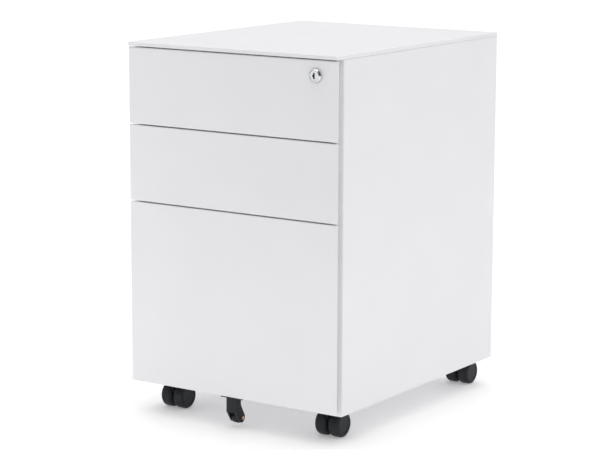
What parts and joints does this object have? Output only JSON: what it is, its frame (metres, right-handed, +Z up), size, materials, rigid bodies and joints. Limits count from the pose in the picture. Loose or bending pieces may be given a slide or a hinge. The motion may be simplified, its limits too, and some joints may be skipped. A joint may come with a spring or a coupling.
{
  "type": "mobile filing cabinet",
  "caption": "White powder-coated steel mobile pedestal with box drawers above a file drawer, cam lock, side finger grips, swivel casters and an anti-tip wheel.",
  "frame": {"origin": "on the floor, under the middle of the cabinet's overall box", "axes": "+Z up, -Y towards the drawer fronts, +X to the right of someone facing the drawers"},
  "size_m": [0.39, 0.4862, 0.594],
  "materials": {
    "white_powder_coat": "fine satin powder coat",
    "zinc_steel": "zinc plated",
    "chrome": "polished chrome",
    "black_plastic": "moulded nylon",
    "black_metal": "black paint",
    "brass": "bright"
  },
  "bodies": {
    "cabinet": {"top_panel": "white_powder_coat", "left_side_panel": "white_powder_coat", "right_side_panel": "white_powder_coat", "back_panel": "white_powder_coat", "base_panel": "white_powder_coat", "front_top_rail": "white_powder_coat", "left_runner_posts": "white_powder_coat", "right_runner_posts": "white_powder_coat", "top_drawer_cabinet_runners": "zinc_steel", "middle_drawer_cabinet_runners": "zinc_steel", "file_drawer_cabinet_runners": "zinc_steel", "lock_bar_guides": "zinc_steel", "caster_plates": "zinc_steel", "caster_screws": "zinc_steel"},
    "top_drawer": {"top_drawer_front": "white_powder_coat", "top_drawer_liner": "white_powder_coat", "top_drawer_tray": "white_powder_coat", "top_drawer_runners": "zinc_steel", "top_drawer_catch": "zinc_steel", "lock_barrel": "chrome", "lock_nut": "zinc_steel"},
    "top_drawer_middle_runners": {"top_drawer_middle_runners": "zinc_steel"},
    "middle_drawer": {"middle_drawer_front": "white_powder_coat", "middle_drawer_liner": "white_powder_coat", "middle_drawer_tray": "white_powder_coat", "middle_drawer_runners": "zinc_steel", "middle_drawer_catch": "zinc_steel"},
    "middle_drawer_middle_runners": {"middle_drawer_middle_runners": "zinc_steel"},
    "file_drawer": {"file_drawer_front": "white_powder_coat", "file_drawer_liner": "white_powder_coat", "file_drawer_tray": "white_powder_coat", "file_drawer_runners": "zinc_steel", "file_drawer_catch": "zinc_steel", "left_file_rail": "zinc_steel", "right_file_rail": "zinc_steel", "anti_tip_plate": "black_metal", "anti_tip_fork": "black_plastic", "anti_tip_pin": "brass"},
    "file_drawer_middle_runners": {"file_drawer_middle_runners": "zinc_steel"},
    "lock_plug": {"lock_plug": "chrome", "lock_cam": "zinc_steel"},
    "lock_bar": {"lock_bar": "zinc_steel"},
    "front_left_caster": {"front_left_caster_hood": "black_plastic", "front_left_caster_axle": "zinc_steel"},
    "front_left_left_wheel": {"front_left_caster_left_wheel": "black_plastic"},
    "front_left_right_wheel": {"front_left_caster_right_wheel": "black_plastic"},
    "front_right_caster": {"front_right_caster_hood": "black_plastic", "front_right_caster_axle": "zinc_steel"},
    "front_right_left_wheel": {"front_right_caster_left_wheel": "black_plastic"},
    "front_right_right_wheel": {"front_right_caster_right_wheel": "black_plastic"},
    "rear_left_caster": {"rear_left_caster_hood": "black_plastic", "rear_left_caster_axle": "zinc_steel"},
    "rear_left_left_wheel": {"rear_left_caster_left_wheel": "black_plastic"},
    "rear_left_right_wheel": {"rear_left_caster_right_wheel": "black_plastic"},
    "rear_right_caster": {"rear_right_caster_hood": "black_plastic", "rear_right_caster_axle": "zinc_steel"},
    "rear_right_left_wheel": {"rear_right_caster_left_wheel": "black_plastic"},
    "rear_right_right_wheel": {"rear_right_caster_right_wheel": "black_plastic"},
    "anti_tip_wheel": {"anti_tip_wheel": "black_plastic"}
  },
  "joints": [
    {"name": "top_drawer_slide", "type": "slide", "parent": "cabinet", "child": "top_drawer", "axis": [0, -1, 0], "range_m": [0, 0.38]},
    {"name": "top_drawer_middle_runner_slide", "type": "slide", "parent": "cabinet", "child": "top_drawer_middle_runners", "axis": [0, -1, 0], "range_m": [0, 0.191]},
    {"name": "middle_drawer_slide", "type": "slide", "parent": "cabinet", "child": "middle_drawer", "axis": [0, -1, 0], "range_m": [0, 0.38]},
    {"name": "middle_drawer_middle_runner_slide", "type": "slide", "parent": "cabinet", "child": "middle_drawer_middle_runners", "axis": [0, -1, 0], "range_m": [0, 0.191]},
    {"name": "file_drawer_slide", "type": "slide", "parent": "cabinet", "child": "file_drawer", "axis": [0, -1, 0], "range_m": [0, 0.38]},
    {"name": "file_drawer_middle_runner_slide", "type": "slide", "parent": "cabinet", "child": "file_drawer_middle_runners", "axis": [0, -1, 0], "range_m": [0, 0.191]},
    {"name": "lock_turn", "type": "hinge", "parent": "top_drawer", "child": "lock_plug", "pos_m": [0.156, -0.2369, 0.563], "axis": [0, -1, 0], "range_deg": [0, 90]},
    {"name": "lock_bar_lift", "type": "slide", "parent": "cabinet", "child": "lock_bar", "axis": [0, 0, 1], "range_m": [0, 0.0099]},
    {"name": "front_left_swivel", "type": "hinge", "parent": "cabinet", "child": "front_left_caster", "pos_m": [-0.149, -0.1959, 0.045], "axis": [0, 0, 1], "continuous": true},
    {"name": "front_left_left_wheel_spin", "type": "hinge", "parent": "front_left_caster", "child": "front_left_left_wheel", "pos_m": [-0.149, -0.1749, 0.02], "axis": [1, 0, 0], "continuous": true},
    {"name": "front_left_right_wheel_spin", "type": "hinge", "parent": "front_left_caster", "child": "front_left_right_wheel", "pos_m": [-0.149, -0.1749, 0.02], "axis": [1, 0, 0], "continuous": true},
    {"name": "front_right_swivel", "type": "hinge", "parent": "cabinet", "child": "front_right_caster", "pos_m": [0.149, -0.1959, 0.045], "axis": [0, 0, 1], "continuous": true},
    {"name": "front_right_left_wheel_spin", "type": "hinge", "parent": "front_right_caster", "child": "front_right_left_wheel", "pos_m": [0.149, -0.1749, 0.02], "axis": [1, 0, 0], "continuous": true},
    {"name": "front_right_right_wheel_spin", "type": "hinge", "parent": "front_right_caster", "child": "front_right_right_wheel", "pos_m": [0.149, -0.1749, 0.02], "axis": [1, 0, 0], "continuous": true},
    {"name": "rear_left_swivel", "type": "hinge", "parent": "cabinet", "child": "rear_left_caster", "pos_m": [-0.149, 0.2021, 0.045], "axis": [0, 0, 1], "continuous": true},
    {"name": "rear_left_left_wheel_spin", "type": "hinge", "parent": "rear_left_caster", "child": "rear_left_left_wheel", "pos_m": [-0.149, 0.2231, 0.02], "axis": [1, 0, 0], "continuous": true},
    {"name": "rear_left_right_wheel_spin", "type": "hinge", "parent": "rear_left_caster", "child": "rear_left_right_wheel", "pos_m": [-0.149, 0.2231, 0.02], "axis": [1, 0, 0], "continuous": true},
    {"name": "rear_right_swivel", "type": "hinge", "parent": "cabinet", "child": "rear_right_caster", "pos_m": [0.149, 0.2021, 0.045], "axis": [0, 0, 1], "continuous": true},
    {"name": "rear_right_left_wheel_spin", "type": "hinge", "parent": "rear_right_caster", "child": "rear_right_left_wheel", "pos_m": [0.149, 0.2231, 0.02], "axis": [1, 0, 0], "continuous": true},
    {"name": "rear_right_right_wheel_spin", "type": "hinge", "parent": "rear_right_caster", "child": "rear_right_right_wheel", "pos_m": [0.149, 0.2231, 0.02], "axis": [1, 0, 0], "continuous": true},
    {"name": "anti_tip_wheel_spin", "type": "hinge", "parent": "file_drawer", "child": "anti_tip_wheel", "pos_m": [0, -0.2196, 0.0163], "axis": [1, 0, 0], "continuous": true}
  ],
  "couplings": [
    {"joint": "top_drawer_middle_runner_slide", "follows": "top_drawer_slide", "ratio": 0.5},
    {"joint": "middle_drawer_middle_runner_slide", "follows": "middle_drawer_slide", "ratio": 0.5},
    {"joint": "file_drawer_middle_runner_slide", "follows": "file_drawer_slide", "ratio": 0.5},
    {"joint": "lock_turn", "follows": "lock_bar_lift", "rad_per_m": 158.66}
  ]
}
